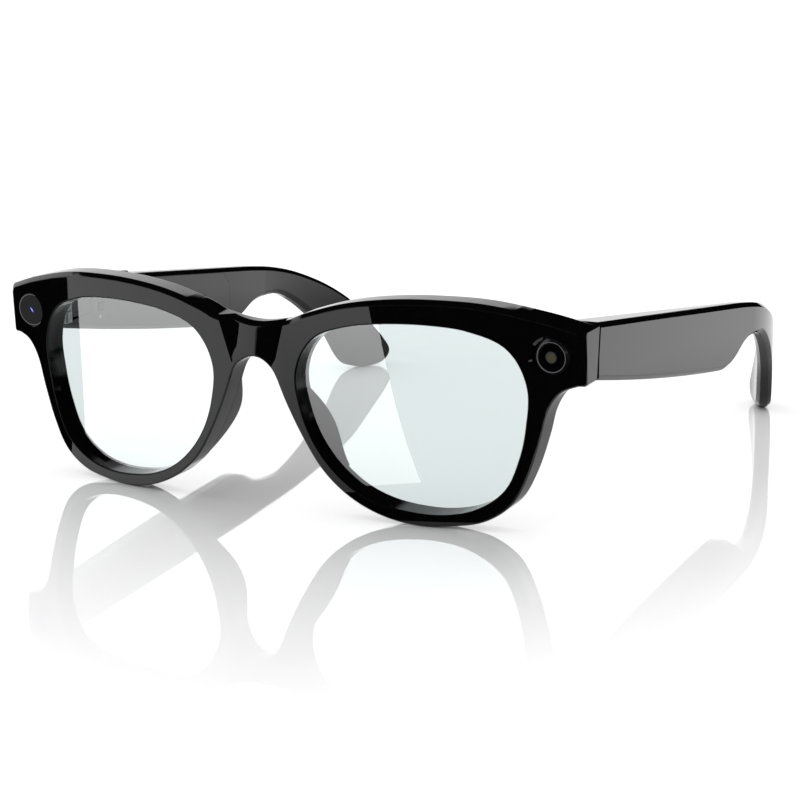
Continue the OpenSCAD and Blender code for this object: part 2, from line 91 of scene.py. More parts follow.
# Lines up its outer and inner edges: a place across, a height, then the run and rise.
SADDLE_RIM = (5.3, 32.3, 3.3, 11.1)
SADDLE_FLOOR = (5.51, SADDLE_FOOT, 3.09 - SADDLE_H * SADDLE_RAMP, SADDLE_H)

# Cover strip in the back of the brow, and the microphone's inlet under it
STRIP_END = 66.5
STRIP_TOP, STRIP_LOW = 1.1, 3.5  # below the brow's line
STRIP_DEEP = 1.3
STRIP_GAP = 0.08
INLET_AT = (0, 37.1)
INLET_R = 0.95
INLET_DEEP = 1.4

# Lenses. The radii stand at equal turns, counter-clockwise from the left lens's nose side.
LENS_C = Vector((37, 24))
LENS_R = [25.2, 23.5, 22.2, 21.4, 20.9, 21, 22.2, 24, 25.3, 25, 25.4, 26.9, 26.8, 23.7,
          21.2, 20.3, 21, 23.4, 26.8, 27.3]
LENS_SET = 2.4  # behind the front surface
LENS_T = 1.8
LENS_EDGE = 0.25
LENS_LIP = 0.4  # how far a lens reaches into the rim's groove

# Camera and light
EYE = (67.8, 38.5)  # their axis: across and height
SEAT_R = 3.98
SEAT_DEEP = 1.4
WINDOW_SET = 0.2  # behind the front surface
COLLAR_IN, COLLAR_OUT = 2.6, 3.95
COLLAR_BACK = 1.45

# Nose pads: a swelling on the rim's nose side, between two heights
PAD_TOP = 29.0
PAD_LOW = 8.5
PAD_WIDE = 3.0
PAD_RISE = 4.6
PAD_ROUND = 1.2

# Temples
SLOPE = 0.0957
JOINT_Y = 5.15  # the joint's face, at this height
JOINT_Z = 40.0
JOINT_GAP = 0.3
JOINT_LOW, JOINT_TOP = 33.4, 45.5
TOP_FROM = 5.8  # where the straight top edge starts
LOW_FROM, LOW_SLOPE, LOW_CURVE = 4.7, 0.183, 0.00046  # start, slope and bow of the lower edge
TEMPLE_T = 7.4  # thickness at the joint
EAR_T = 4.1  # thickness of the ear hook
TAPER_Y = 5.3
BEND_Y = 104.0  # where the ear hook starts to curve inwards
BEND_R = 105.0
# The hook's outline: along its top, round its tip and back below.
HOOK = [(105.3, 35.7), (112.6, 34.4), (119.3, 32.7), (125.6, 30.5), (131.6, 27.9), (137.3, 24.7),
        (142.8, 20.6), (149.8, 12.5), (153.6, 7.4), (154.7, 4.2), (152.6, 1.1), (147, 0.1),
        (141.6, 1.3), (138.1, 4.3), (133.4, 11.8), (128.2, 17), (120.6, 22.8), (112.6, 26.7),
        (105.2, 27.2), (98.6, 26.2), (92.4, 23.5), (87.4, 22.1)]
WALL = 1.4  # thickness of the outer wall behind the bay
COVER_T = 1.0
COVER_GAP = 0.03
COVER_EDGE = 1.3  # from the temple's edges to the cover
COVER_FROM, COVER_TO = 20.4, 85.0
LEDGE = 0.86  # the ledge that the cover lies on
LEDGE_DEEP = COVER_T + 0.06
LEAF_POCKET = [(6.3, 33.9), (9.4, 33.9), (9.4, 34.9), (19.8, 34.9), (19.8, 41.9), (9.4, 41.9),
               (9.4, 44.0), (6.3, 44.0)]
LEAF_DEEP = 1.14
SLOT_FROM, SLOT_STEP, SLOTS = 63.2, 2.1, 5  # the speaker's slots
SLOT_W = 1.0
SLOT_LOW, SLOT_TOP = 27.0, 32.0
# Holes for the charging contacts in the left cover, and for the status light in the right one
CONTACT_Y, CONTACT_ZS, CONTACT_R = 24.4, (34.6, 38.6), 0.95
STATUS_AT, STATUS_R = (24, 33.4), 0.5

# Keys
CAPTURE_Y = 38.0
CAPTURE_IN = 3.1  # from the temple's outer face
POWER_AT = (24.3, 36.0)
POWER_HOLE = 1.12  # half its side

# Corner normals: how much more a flat face counts than the strips at its edges, and the
# angle between two faces from which their edge stays sharp
FLAT_SHARE = 60
FLAT_LEAST = 5
SHARP = math.radians(27)

# Stage, in metres
CAMERA_AT = (0.22964, -0.43128, 0.11225)
CAMERA_AHEAD = (-0.47352, 0.85643, -0.20568)
CAMERA_ROLL = math.radians(0.331)
CAMERA_LENS = 87.14  # millimetres
FLOOR_R = 6.0
# The floor's mirror share is a product of these: an axis, where it is 0, where it is full,
# and how much full is.
FLOOR_FADES = (("Y", -0.23, -0.077, 0.52), ("X", 0.14, 0.06, 1.0), ("Y", 0.2, 0.1, 1.0))
CARD_Z = 0.3 * MM
CARDS = {
    "card_right": [(0.016, -0.08), (0.016, -0.094), (0.033, -0.099), (-0.2, -0.682),
                   (0.45, -0.682), (0.45, -0.08)],
    "card_left": [(-0.06, -0.0755), (-0.076, -0.04), (-0.68, -0.04), (-0.68, -0.426)],
}
LAMP_AT = (-0.15, -0.1, 1.2)
LAMP_SIZE = 1.6
LAMP_WATTS = 4
ROOM_LIGHT = 1.1
ROOM_SEEN = 1.3  # as the camera sees the walls: pure white
# Where reflections find the room dark: above a slope that sinks towards +X, high up, and
# past a heading in front of the glasses. A pair bounds the stretch over which the light fades.
DARK_SLOPE = 1.9
DARK_ABOVE = (-0.19, -0.11)
DARK_HIGH = (0.6, 0.55)
DARK_HEADING = (0.857, -0.515, 0.0)
DARK_PAST = (-0.02, 0.02)


# ---- Curves ------------------------------------------------------------------

def spline(points, steps):
    """Smooth curve through points; the first and last only set the end slopes."""
    p = [Vector(q) for q in points]
    out = []
    for a, b, c, d in zip(p, p[1:], p[2:], p[3:]):
        for k in range(steps):
            t = k / steps
            out.append(0.5 * (2 * b + (c - a) * t + (2 * a - 5 * b + 4 * c - d) * t * t
                              + (3 * b - a - 3 * c + d) * t ** 3))
    return out + [p[-2]]


def mirrored(points):
    return [Vector((-p.x, p.y)) for p in reversed(points)]


def front_outline():
    """The front's whole outline, counter-clockwise."""
    side = [Vector((HALF_W, z)) for z in (SIDE_TOP, (SIDE_TOP + SIDE_LOW) / 2, SIDE_LOW)]
    right = spline(BROW, 6) + side + [Vector((LOW_CORNER, END_LOW))] + spline(RIM, 6)
    loop = right + mirrored(right)[1:-1]
    return loop[::-1]


def lens_outline(side, grow=0.0):
    radii = [r[0] for r in spline([(r, 0) for r in [LENS_R[-1]] + LENS_R + LENS_R[:2]], 8)][:-1]
    turn = 2 * math.pi / len(radii)
    angles = [i * turn - math.pi for i in range(len(radii))]
    loop = [LENS_C + (r + grow) * Vector((math.cos(a), math.sin(a))) for r, a in zip(radii, angles)]
    return loop if side == LEFT else mirrored(loop)


def circle(centre, radius, steps=40):
    return [Vector(centre) + radius * Vector((math.cos(a), math.sin(a)))
            for a in (2 * math.pi * k / steps for k in range(steps))]


def strip_outline(grow):
    """The strip let into the back of the brow."""
    line = [p for p in spline(BROW, 6) if p.x < STRIP_END]
    top = [p - Vector((0, STRIP_TOP - grow)) for p in line]
    low = [p - Vector((0, STRIP_LOW + grow)) for p in line]
    return mirrored(low)[:-1] + low + top[::-1] + mirrored(top)[::-1][1:]


def temple_top(y):
    return JOINT_TOP - SLOPE * (y - TOP_FROM)


def temple_low(y):
    along = y - LOW_FROM
    return JOINT_LOW - LOW_SLOPE * along + LOW_CURVE * along ** 2


def joint_at(z):
    """Where a temple ends beside the hinge joint, square to its own slope."""
    return JOINT_Y + JOINT_GAP + SLOPE * (z - JOINT_Z)


def temple_outline():
    """A temple's outline from the side, counter-clockwise, with the joint's edge last."""
    hook = ([(y, temple_top(y)) for y in (80, 94)] + HOOK
            + [(y, temple_low(y)) for y in (82, 70)])
    loop = ([Vector((joint_at(JOINT_TOP), JOINT_TOP))] + spline(hook, 7)
            + [Vector((y, temple_low(y))) for y in range(76, 8, -4)]
            + [Vector((joint_at(JOINT_LOW), JOINT_LOW))])
    return loop[::-1]


def cover_outline(grow):
    """The inner cover's outline in the temple's side."""
    m, a, b = COVER_EDGE - grow, COVER_FROM - grow, COVER_TO + grow
    ys = (a + 1, 36, 52, 68, b - 3)
    return ([Vector((y, temple_low(y) + m)) for y in ys]
            + [Vector((b, temple_low(b) + m + 2)), Vector((b, temple_top(b) - m - 3))]
            + [Vector((y, temple_top(y) - m)) for y in reversed(ys)]
            + [Vector((a, temple_top(a) - m - 1)), Vector((a, temple_low(a) + m + 1))])


def inset(loop, widths):
    """Moves every edge of a counter-clockwise loop inwards by its own width."""
    out = []
    for i, p in enumerate(loop):
        before, after = (p - loop[i - 1]).normalized(), (loop[(i + 1) % len(loop)] - p).normalized()
        n1, n2 = Vector((-before.y, before.x)), Vector((-after.y, after.x))
        w1, w2 = widths[i - 1], widths[i]
        cross = n1.x * n2.y - n1.y * n2.x
        if abs(cross) < 0.3:  # nearly straight
            mid = (n1 + n2).normalized()
            out.append(p + mid * (w1 + w2) / 2 / mid.dot(n1))
        else:
            out.append(p + Vector((w1 * n2.y - w2 * n1.y, n1.x * w2 - n2.x * w1)) / cross)
    return out


# ---- Solids in flat coordinates -------------------------------------------------

def first_ring(bm, spots):
    """A closed ring of edges through the spots."""
    ring = [bm.verts.new(s) for s in spots]
    for i in range(len(ring)):
        bm.edges.new((ring[i - 1], ring[i]))
    return ring


def ring_edges(bm, ring):
    return [bm.edges.get((ring[i - 1], ring[i])) for i in range(len(ring))]


def grow_ring(bm, ring, spots):
    """Extrudes a closed ring of edges and moves its new corners to their spots."""
    made = bmesh.ops.extrude_edge_only(bm, edges=ring_edges(bm, ring))["geom"]
    fresh = {g for g in made if isinstance(g, bmesh.types.BMVert)}
    new = [next(e.other_vert(v) for e in v.link_edges if e.other_vert(v) in fresh) for v in ring]
    for v, s in zip(new, spots):
        v.co = s
    return new


def wall_rings(bm, loop, stations, outward=1):
    """Runs a wall along a loop. Each station is (widths, depth or depths)."""
    rings = []
    for widths, depth in stations:
        n = len(loop)
        widths = widths if isinstance(widths, list) else [widths] * n
        depths = depth if isinstance(depth, list) else [depth] * n
        spots = [(p.x, d, p.y) for p, d in zip(inset(loop, [w * outward for w in widths]), depths)]
        rings.append(grow_ring(bm, rings[-1], spots) if rings else first_ring(bm, spots))
    return rings


def edge(width, start, end, shape):
    """Stations of an edge between a face at depth start and the wall towards end.

    The shape is a list of (across, deep), both in widths of the edge."""
    sign = 1 if end > start else -1
    if not isinstance(width, list):
        return [(width * across, start + sign * width * deep) for across, deep in shape]
    return [([w * across for w in width],
             [start + sign * (width[i - 1] + w) / 2 * deep for i, w in enumerate(width)])
            for across, deep in shape]


def rounded(width, start, end, steps=4):
    """A quarter-round edge."""
    turns = [math.pi / 2 * k / steps for k in range(steps + 1)]
    return edge(width, start, end, [(1 - math.sin(a), 1 - math.cos(a)) for a in turns])


def chamfered(width, start, end):
    """A 45 degree chamfer, softened where it meets the face and the wall."""
    return edge(width, start, end, [(1.14, 0), (0.9, 0.1), (0.1, 0.9), (0, 1.14)])


def cap(bm, rings):
    """Fills the flat face between an outer ring and its holes."""
    flat = bm.faces.layers.int.get("flat") or bm.faces.layers.int.new("flat")
    edges = [e for r in rings for e in ring_edges(bm, r)]
    made = bmesh.ops.triangle_fill(bm, use_beauty=True, edges=edges)["geom"]
    for f in made:
        if isinstance(f, bmesh.types.BMFace):
            f[flat] = 1


def slice_at(bm, point, normal, keep=None):
    """Cuts the faces along a plane, all of them or those whose middle passes the test."""
    faces = [f for f in bm.faces if keep is None or keep(f.calc_center_bounds())]
    verts = list({v for f in faces for v in f.verts})
    edges = list({e for f in faces for e in f.edges})
    geom = verts + edges + faces
    bmesh.ops.bisect_plane(bm, geom=geom, plane_co=point, plane_no=normal, dist=1e-5)


def corner_normals(bm):
    """Normal of every face corner, led by the flat faces round it and split at sharp edges."""
    flat = bm.faces.layers.int.get("flat") or bm.faces.layers.int.new("flat")
    bm.normal_update()
    cos = math.cos(SHARP)
    weight = {f: f.calc_area() * FLAT_SHARE + FLAT_LEAST if f[flat] else f.calc_area() + 1e-9
              for f in bm.faces}
    out = {}
    for v in bm.verts:
        near = list(v.link_faces)
        for f in near:
            total = Vector()
            for g in near:
                if g is f or f.normal.dot(g.normal) > cos:
                    total += g.normal * weight[g]
            out[(f, v)] = total.normalized() if total.length > 0 else f.normal.copy()
    return out


def piece(name, bm, bend, body, keys, node_name):
    """Turns a flat solid into a finished piece: bent into place, with its corner normals."""
    bmesh.ops.remove_doubles(bm, verts=bm.verts, dist=1e-4)
    bmesh.ops.triangulate(bm, faces=bm.faces)
    bmesh.ops.recalc_face_normals(bm, faces=bm.faces)
    normals = corner_normals(bm)
    step = 1e-3
    mirrored_corners = 0
    place, turn = {}, {}
    for v in bm.verts:
        at = Vector(bend(*v.co))
        rows = [(Vector(bend(*(v.co + Vector(e) * step))) - at) / step
                for e in ((1, 0, 0), (0, 1, 0), (0, 0, 1))]
        j = Matrix(rows).transposed()
        mirrored_corners += 1 if j.determinant() < 0 else -1
        place[v], turn[v] = at, j.inverted_safe().transposed()
    for v, at in place.items():
        v.co = (at + Vector((0, SHIFT_Y, LIFT_Z))) * MM
    if mirrored_corners > 0:
        bmesh.ops.reverse_faces(bm, faces=bm.faces)
    mesh = bpy.data.meshes.new(name)
    split = []
    for f in bm.faces:
        f.smooth = True
        for corner in f.loops:
            split.append((turn[corner.vert] @ normals[(f, corner.vert)]).normalized())
    bm.to_mesh(mesh)
    bm.free()
    mesh.normals_split_custom_set([tuple(n) for n in split])
    for key in keys:
        mesh.materials.append(material(key))
    obj = bpy.data.objects.new(name, mesh)
    bpy.context.scene.collection.objects.link(obj)
    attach(obj, body)
    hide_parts(node_name)


# ---- Bending into place -----------------------------------------------------------

def wrap_depth(across, depth):
    """How far back the front's curve lies at a place across it."""
    return WRAP_R - math.sqrt((WRAP_R - depth) ** 2 - across * across)


def lean_over(x, y, z):
    """Tips the front about its lowest edge and sets it ahead of the temples."""
    c, s = math.cos(LEAN), math.sin(LEAN)
    return (x, FRONT_Y + y * c - z * s, y * s + z * c)


def front_bend(across, depth, height):
    """The front's curve and lean; the end blocks run straight back to the joint."""
    if depth > BLOCK_FROM:
        c, s = math.cos(LEAN), math.sin(LEAN)
        back = (JOINT_Y - FRONT_Y + height * s + SLOPE * (height * c - JOINT_Z)) / (c - SLOPE * s)
        return lean_over(across, back - (BLOCK_END - depth), height)
    return lean_over(across, wrap_depth(across, depth), height)


def eye_bend(side):
    """Round parts of the camera and the light, on an axis that faces straight forward."""
    back = wrap_depth(EYE[0], 0)

    def bend(x, depth, z):
        return lean_over(side * EYE[0] + x, back + depth, EYE[1] + z)
    return bend


def temple_thickness(y):
    if y > BEND_Y:
        return EAR_T
    return TEMPLE_T - (TEMPLE_T - EAR_T) * (y - TAPER_Y) / (BEND_Y - TAPER_Y)


def temple_bend(side):
    """A temple's taper, and the inward curve of its ear hook."""
    def bend(y, depth, z):
        d = depth if depth < TEMPLE_T / 2 else temple_thickness(y) - (TEMPLE_T - depth)
        x = HALF_W - d
        if y > BEND_Y:
            x = HALF_W - BEND_R + math.sqrt((BEND_R - d) ** 2 - (y - BEND_Y) ** 2)
        return (side * x, y, z)
    return bend


def unbent(x, y, z):
    return (x, y, z)


# ---- Materials ------------------------------------------------------------------------

def tone(code):
    """sRGB hex to linear."""
    parts = [int(code[i:i + 2], 16) / 255 for i in (1, 3, 5)]
    return tuple(p / 12.92 if p <= 0.04045 else ((p + 0.055) / 1.055) ** 2.4 for p in parts) + (1.0,)


def node(tree, kind, settings=None, values=None, links=None):
    """Adds a node with its settings, socket values and incoming links."""
    made = tree.nodes.new(kind)
    for key, value in (settings or {}).items():
        setattr(made, key, value)
    for key, value in (values or {}).items():
        made.inputs[key].default_value = value
    for key, socket in (links or {}).items():
        tree.links.new(socket, made.inputs[key])
    return made


def blank(name):
    made = bpy.data.materials.new(name)
    made.use_nodes = True
    made.node_tree.nodes.clear()
    return made, made.node_tree


def finish(name, dark, light, rough, spread, grain, bump=0.0, **sockets):
    """A surface whose two close tones and roughness drift over a grain in millimetres."""
    made, tree = blank(name)
    place = node(tree, "ShaderNodeTexCoord")
    speck = node(tree, "ShaderNodeTexNoise", values={"Scale": 1 / (grain * MM), "Detail": 4.0},
                 links={"Vector": place.outputs["Object"]})
    colour = node(tree, "ShaderNodeMix", {"data_type": "RGBA"},
                  {6: tone(dark), 7: tone(light)}, {0: speck.outputs["Fac"]})
    dull = node(tree, "ShaderNodeMapRange",
                values={"From Min": 0.3, "From Max": 0.7,
                        "To Min": rough - spread, "To Max": rough + spread},
                links={"Value": speck.outputs["Fac"]})
    surface = node(tree, "ShaderNodeBsdfPrincipled",
                   values={key.replace("_", " "): value for key, value in sockets.items()},
                   links={"Base Color": colour.outputs[2], "Roughness": dull.outputs["Result"]})
    if bump:
        relief = node(tree, "ShaderNodeBump", values={"Strength": 0.5, "Distance": bump * MM},
                      links={"Height": speck.outputs["Fac"]})
        tree.links.new(relief.outputs["Normal"], surface.inputs["Normal"])
    node(tree, "ShaderNodeOutputMaterial", links={"Surface": surface.outputs[0]})
    return made


def outer_finishes(sizes):
    """Black plastics and metals of the pieces that show."""
    return {
        # Injection-moulded nylon under polished black lacquer: deep black, mirror-like.
        "gloss_black": finish("polished_black_lacquer", "#030303", "#060606", 0.02, 0.008, 4.0,
                              IOR=sizes.lacquer_ior),
        # The same lacquer on the inner side, buffed less: the same black, a softer reflection.
        "inner_black": finish("buffed_black_lacquer", "#030303", "#060606", 0.05, 0.012, 3.0,
                              IOR=1.56),
        # Milled wall of the lens openings: a dim, softened reflection.
        "rim_inside": finish("milled_opening_wall", "#020202", "#050505", 0.09, 0.04, 1.2, IOR=1.3),
        # Lacquer over the moulded pads: a shade lighter and softer than the frame.
        "pad_black": finish("moulded_pad_lacquer", "#050505", "#080808", 0.09, 0.02, 1.5, IOR=1.5),
        # Fine-eroded nylon: a faint grain and a dull sheen.
        "satin_black": finish("satin_black_nylon", "#0a0a0b", "#121213", 0.32, 0.05, 0.6,
                              bump=0.01, IOR=1.5),
        # Black-chromed ring round the windows: nearly black, with a narrow bright glint.
        "dark_metal": finish("black_chrome", "#08080a", "#0d0d10", 0.16, 0.04, 0.8, IOR=1.5),
        # Turned edge of the ring: a thin grey line, a painted highlight that stands in for the light its
        # bevel catches.
        "edge_painted_highlight": finish("turned_edge_painted_highlight", "#58595c", "#6c6d70", 0.35, 0.06, 0.5, IOR=1.45),
    }


def inside_finishes():
    """Metals, boards and plastics of the parts inside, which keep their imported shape."""
    return {
        # Spring steel, stamped and tumbled: grey, with a blurred reflection.
        "hinge_steel": finish("tumbled_spring_steel", "#8b8b8d", "#a9a9ab", 0.28, 0.07, 1.2,
                              Metallic=1.0),
        # Turned screws: a darker steel with a finer grain.
        "screw_steel": finish("machined_screw_steel", "#77787b", "#97989a", 0.24, 0.06, 0.5,
                              Metallic=1.0),
        # Centreless-ground pins: the brightest steel here.
        "pin_steel": finish("ground_pin_steel", "#a4a4a6", "#bcbcbe", 0.16, 0.04, 0.8, Metallic=1.0),
        # Tinned sheet over the processor and the switches: a warm, cloudy grey.
        "shield_metal": finish("tinned_shield", "#9a9a98", "#b4b4b0", 0.34, 0.08, 1.0, Metallic=1.0),
        # Green solder mask over fibreglass: dark green with a waxy gloss.
        "board_green": finish("green_solder_mask", "#0b3d20", "#11532c", 0.3, 0.06, 0.7, IOR=1.5),
        # Polyimide film of the flexes: a shiny amber.
        "flex_amber": finish("polyimide_film", "#8a4b12", "#a9651f", 0.25, 0.05, 2.0, IOR=1.6),
        # Heat-sealed pouch foil: bluish grey and slightly puckered.
        "cell_foil": finish("battery_pouch_foil", "#3d4552", "#566070", 0.3, 0.08, 1.6,
                            bump=0.03, Metallic=0.6),
        # Moulded speaker baskets: a matt charcoal.
        "speaker_grey": finish("speaker_basket", "#232326", "#303033", 0.45, 0.08, 0.9),
        # Glass-filled resin of the camera barrel: matt black.
        "module_black": finish("black_barrel_resin", "#060607", "#0c0c0d", 0.42, 0.06, 0.6),
        # Drawn brass microphone cans: a pale gold.
        "gold_can": finish("brass_microphone_can", "#b9a46a", "#d0bd84", 0.26, 0.05, 0.6,
                           Metallic=1.0),
        # Hard gold over nickel, worn matt by the charger's pins.
        "contact_gold": finish("hard_gold_plate", "#c79a45", "#e0b863", 0.2, 0.07, 0.4, Metallic=1.0),
        # Frosted acrylic light pipe: a milky grey dot while unlit.
        "light_pipe": finish("frosted_light_pipe", "#7d8385", "#98a0a3", 0.45, 0.08, 0.5, IOR=1.49),
        # Coated glass of the camera's front element: blue-black and mirror-like.
        "lens_glass": finish("coated_camera_glass", "#06060f", "#0b0b1c", 0.03, 0.01, 0.8, IOR=1.7),
        # Phosphor over the light's chip: a matt yellow.
        "phosphor": finish("led_phosphor", "#a89a3c", "#c2b454", 0.55, 0.1, 0.3),
    }


def woven_steel_cloth():
    """Cloth behind the speaker's slots, with holes every 0.4 mm: coarser than the real
    0.1 mm, so that they show."""
    made, tree = blank("woven_steel_cloth")
    place = node(tree, "ShaderNodeTexCoord")
    holes = node(tree, "ShaderNodeTexVoronoi", values={"Scale": 1 / (0.4 * MM), "Randomness": 0.0},
                 links={"Vector": place.outputs["Object"]})
    wire = node(tree, "ShaderNodeMapRange", values={"From Min": 0.25, "From Max": 0.4},
                links={"Value": holes.outputs["Distance"]})
    tint = node(tree, "ShaderNodeMix", {"data_type": "RGBA"},
                {6: tone("#050505"), 7: tone("#4a4a4d")}, {0: wire.outputs["Result"]})
    surface = node(tree, "ShaderNodeBsdfPrincipled", values={"Roughness": 0.4, "Metallic": 0.7},
                   links={"Base Color": tint.outputs[2]})
    node(tree, "ShaderNodeOutputMaterial", links={"Surface": surface.outputs[0]})
    return made


def clear_polycarbonate(name, share, tint, ior):
    """One face of a blue-cut lens: clear with its tint, mirroring a share of the room."""
    made, tree = blank(name)
    place = node(tree, "ShaderNodeTexCoord")
    drift = node(tree, "ShaderNodeTexNoise", values={"Scale": 1 / (30 * MM)},
                 links={"Vector": place.outputs["Object"]})
    through = node(tree, "ShaderNodeMix", {"data_type": "RGBA"},
                   {6: (*tint, 1), 7: (*[min(1, c * 1.01) for c in tint], 1)},
                   {0: drift.outputs["Fac"]})
    clear = node(tree, "ShaderNodeBsdfTransparent", links={"Color": through.outputs[2]})
    mirror = node(tree, "ShaderNodeBsdfGlossy", values={"Roughness": 0.0, "Color": (1, 1, 1, 1)})
    grazing = node(tree, "ShaderNodeFresnel", values={"IOR": ior})
    power = node(tree, "ShaderNodeMath", {"operation": "ADD", "use_clamp": True}, {1: share},
                 {0: grazing.outputs[0]})
    both = node(tree, "ShaderNodeMixShader",
                links={0: power.outputs[0], 1: clear.outputs[0], 2: mirror.outputs[0]})
    node(tree, "ShaderNodeOutputMaterial", links={"Surface": both.outputs[0]})
    return made


def frosted_chip(tree, flat):
    """The light's yellow chip behind frosted glass: a dim spot that fades into the black print."""
    far = node(tree, "ShaderNodeVectorMath", {"operation": "LENGTH"}, links={0: flat.outputs[0]})
    spread = node(tree, "ShaderNodeMapRange", values={"From Max": 3.6}, links={0: far.outputs["Value"]})
    ramp = node(tree, "ShaderNodeValToRGB", links={0: spread.outputs[0]})
    stops = ramp.color_ramp.elements
    stops[0].position, stops[0].color = 0.0, tone("#4a4626")
    stops[1].position, stops[1].color = 0.36, tone("#030303")
    for spot, shade in ((0.12, "#454326"), (0.2, "#3f3f3a"), (0.33, "#363634")):
        stops.new(spot).color = tone(shade)
    return node(tree, "ShaderNodeBsdfPrincipled", values={"Roughness": 0.06, "IOR": 1.35},
                links={"Base Color": ramp.outputs[0]})


def painted_blue_glint(tree, flat):
    """Dark glass over the camera, with a painted highlight: a streak of blue-violet emission that stands in
    for the glint off its anti-reflective coating.
    """
    glint_shape = node(tree, "ShaderNodeMapping", {"vector_type": "TEXTURE"},
                  {"Rotation": (0, 0, math.radians(-55)), "Scale": (1.0, 0.25, 1)},
                  {"Vector": flat.outputs[0]})
    far = node(tree, "ShaderNodeVectorMath", {"operation": "LENGTH"}, links={0: glint_shape.outputs[0]})
    painted_glint_strength = node(tree, "ShaderNodeMapRange", {"interpolation_type": "SMOOTHERSTEP"},
                {"From Min": 1.0, "From Max": 0.0, "To Max": 2.6}, {0: far.outputs["Value"]})
    # The streak's Emission is a painted highlight: the glass glows there though it is no lamp.
    return node(tree, "ShaderNodeBsdfPrincipled",
                values={"Base Color": tone("#0f0f10"), "Roughness": 0.12, "IOR": 1.24,
                        "Emission Color": tone("#7d7dff")},
                links={"Emission Strength": painted_glint_strength.outputs[0]})


def printed_glass(name, side, centre):
    """Cover glass printed black behind, round a centre that is drawn in millimetres."""
    made, tree = blank(name)
    at = Vector(eye_bend(side)(0, WINDOW_SET, 0)) + Vector((0, SHIFT_Y, LIFT_Z))
    place = node(tree, "ShaderNodeTexCoord")
    centred = node(tree, "ShaderNodeMapping", {"vector_type": "POINT"},
                   {"Location": tuple(-at), "Scale": (1 / MM, 1 / MM, 1 / MM)},
                   {"Vector": place.outputs["Object"]})
    part = node(tree, "ShaderNodeSeparateXYZ", links={0: centred.outputs[0]})
    flat = node(tree, "ShaderNodeCombineXYZ", links={0: part.outputs["X"], 1: part.outputs["Z"]})
    node(tree, "ShaderNodeOutputMaterial", links={"Surface": centre(tree, flat).outputs[0]})
    return made


MATERIALS = {}


def material(key):
    """The finish of a material slot. The first call makes them all."""
    if not MATERIALS:
        sizes = bpy.context.scene.glasses_sizes
        MATERIALS.update(outer_finishes(sizes))
        MATERIALS.update(inside_finishes())
        MATERIALS.update({
            "mesh_metal": woven_steel_cloth(),
            # The front face carries the coat: a pale blue-green cast and a strong reflection.
            "clear_lens": clear_polycarbonate("coated_lens_front", sizes.lens_reflection,
                                              sizes.lens_tint, 1.35),
            # The rear face is left nearly without reflection, so that it doubles nothing.
            "lens_back": clear_polycarbonate("lens_rear_face", 0.0, (1, 1, 1), 1.02),
            # The camera's glass carries a painted blue-violet highlight.
            "camera_glass": printed_glass("printed_camera_glass_painted_glint", RIGHT, painted_blue_glint),
            "light_glass": printed_glass("printed_light_glass", LEFT, frosted_chip),
        })
    return MATERIALS[key]


# ---- Sizes a user would change -------------------------------------------------------------

class GlassesSizes(bpy.types.PropertyGroup):
    edge_chamfer: FloatProperty(name="Top edge", description="Chamfer of the front's top edge, mm",
                                default=1.0, min=0.3, max=2.0)
    side_chamfer: FloatProperty(name="Side edge", description="Chamfer of the front's other outer edges, mm",
                                default=0.35, min=0.1, max=1.0)
    lens_round: FloatProperty(name="Lens edge", description="Rounding of the lens openings' front edge, mm",
                              default=0.35, min=0.1, max=1.5)
    back_round: FloatProperty(name="Back edge", description="Rounding of the front's back edges, mm",
                              default=0.5, min=0.2, max=1.5)
    temple_chamfer: FloatProperty(name="Temple edge", description="Chamfer of the temples' long edges, mm",
                                  default=1.1, min=0.2, max=1.5)
    joint_round: FloatProperty(name="Joint edge", description="Rounding at the hinge joint, mm",
                               default=0.22, min=0.1, max=0.6)
    lacquer_ior: FloatProperty(name="Lacquer index", description="Refractive index of the black lacquer",
                               default=1.56, min=1.3, max=2.0)
    lens_reflection: FloatProperty(name="Lens reflection", description="Share that the lens's front reflects",
                                   default=0.24, min=0.0, max=1.0, subtype="FACTOR")
    lens_tint: FloatVectorProperty(name="Lens tint", description="Colour of light through a lens",
                                   default=(0.91, 1.0, 1.0), subtype="COLOR")


# ---- Pieces ---------------------------------------------------------------------------------

def outline_widths(outline, sizes):
    """Widths of the chamfer in front and of the rounding behind, for each edge of the outline."""
    front, back = [], []
    for a, b in zip(outline, outline[1:] + outline[:1]):
        top = a.y > TOP_EDGE and b.y > TOP_EDGE and abs(a.x) < HALF_W - 0.2
        front.append(sizes.edge_chamfer if top else sizes.side_chamfer)
        # The back edge stays square beside the end blocks, which carry the wall on.
        beside = min(abs(a.x), abs(b.x)) > HALF_W - 1 and END_LOW - 0.4 < a.y < END_TOP + 0.2
        back.append(0.01 if beside else sizes.back_round)
    return front, back


def open_lens(bm, side, sizes):
    """A lens opening. Returns its rings in the front and in the back face."""
    before = set(bm.faces)
    rings = wall_rings(bm, lens_outline(side), rounded(sizes.lens_round, 0, FRONT_T)
                       + rounded(sizes.back_round, FRONT_T, 0)[::-1], -1)
    for f in set(bm.faces) - before:
        f.material_index = 1  # the milled wall
    return rings[0], rings[-1]


def seat_eye(bm, side):
    """The seat of the camera or the light, its floor square to their axis. Returns its front ring."""
    round_seat = circle((side * EYE[0], EYE[1]), SEAT_R, 56)
    floor_y = wrap_depth(EYE[0], 0) + SEAT_DEEP
    deep = [WRAP_R - math.hypot(WRAP_R - floor_y, p.x) for p in round_seat]
    # The light sits in a shallow dish, the camera behind a fine bevel.
    mouth = [(0.6, 0), (0.05, 0.5)] if side == LEFT else [(0.12, 0), (0, 0.12)]
    rings = wall_rings(bm, round_seat, mouth + [(0, deep)], -1)
    cap(bm, [rings[-1]])
    return rings[0]


def sink(bm, loop, deep):
    """A recess in the back face. Returns its ring in that face."""
    rings = wall_rings(bm, loop, [(FINE_BEVEL, FRONT_T), (0, FRONT_T - FINE_BEVEL),
                                  (0, FRONT_T - deep)], -1)
    cap(bm, [rings[-1]])
    return rings[0]


